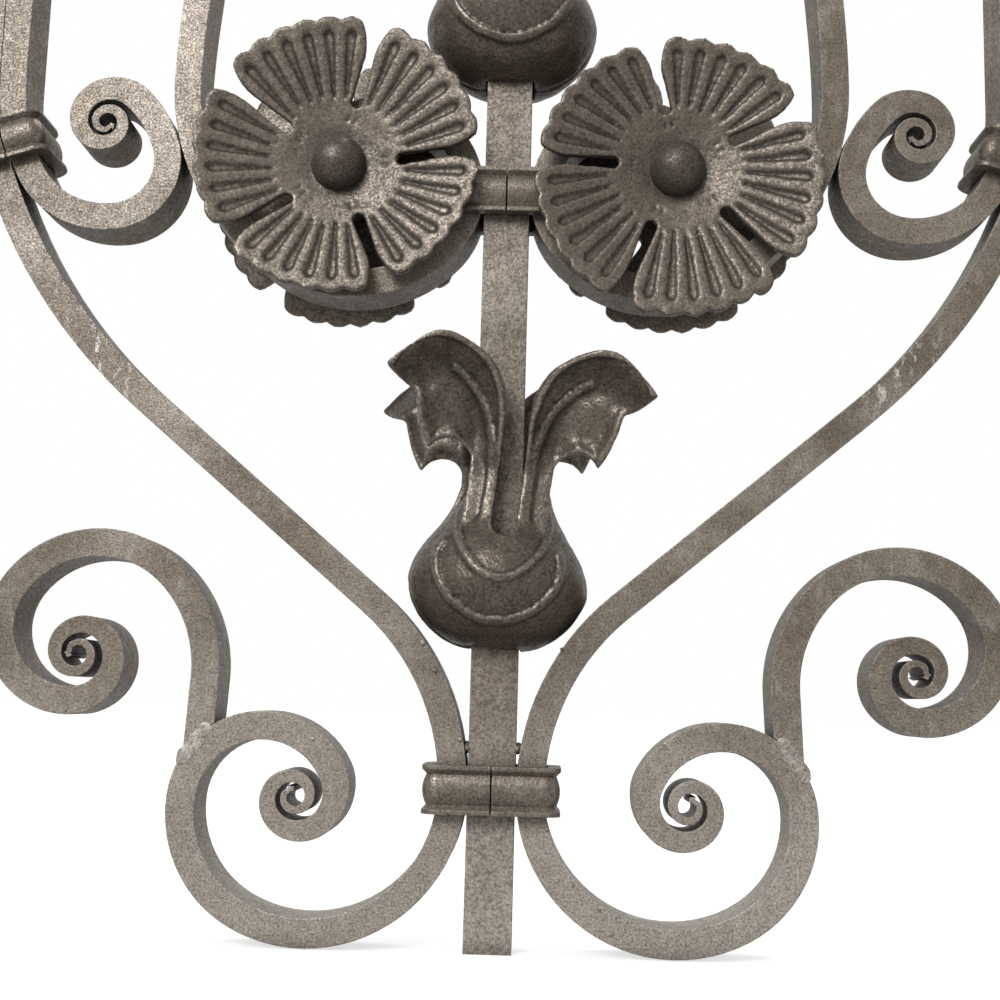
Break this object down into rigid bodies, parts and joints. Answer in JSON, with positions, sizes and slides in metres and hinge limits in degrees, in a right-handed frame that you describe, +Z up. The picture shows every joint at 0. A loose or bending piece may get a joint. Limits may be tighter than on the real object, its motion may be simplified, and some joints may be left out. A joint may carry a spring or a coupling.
{
  "type": "wrought iron scrollwork panel",
  "caption": "Upright iron panel of bent flat-bar scrolls held by moulded collars to a square centre bar, with fluted flowers and leaf castings.",
  "frame": {"origin": "middle of the centre bar's lower end, where it is cut square", "axes": "+Z up along the centre bar, -Y out of the face shown in the picture, +X to that face's right"},
  "size_m": [0.345, 0.0568, 0.37],
  "materials": {
    "bars": "satin, brown-grey metallic paint with a fine grain, rubbed bright in places",
    "collars": "satin, brown-grey metallic paint",
    "flowers": "satin, brown metallic paint over cast iron, rubbed on the ridges",
    "bosses": "satin, brown-grey metallic paint, rubbed in front",
    "castings": "satin, brown metallic paint over rough cast iron, rubbed on the rims"
  },
  "bodies": {
    "root": {"centre_bar": "bars", "left_side_scroll": "bars", "left_lower_scroll": "bars", "left_upper_scroll": "bars", "left_inner_scroll": "bars", "left_side_collar": "collars", "left_front_flower": "flowers", "left_back_flower": "flowers", "left_front_boss": "bosses", "left_back_boss": "bosses", "right_side_scroll": "bars", "right_lower_scroll": "bars", "right_upper_scroll": "bars", "right_inner_scroll": "bars", "right_side_collar": "collars", "right_front_flower": "flowers", "right_back_flower": "flowers", "right_front_boss": "bosses", "right_back_boss": "bosses", "lower_collar": "collars", "middle_collar": "collars", "lower_front_casting": "castings", "lower_back_casting": "castings", "upper_front_casting": "castings", "upper_back_casting": "castings"}
  },
  "joints": []
}
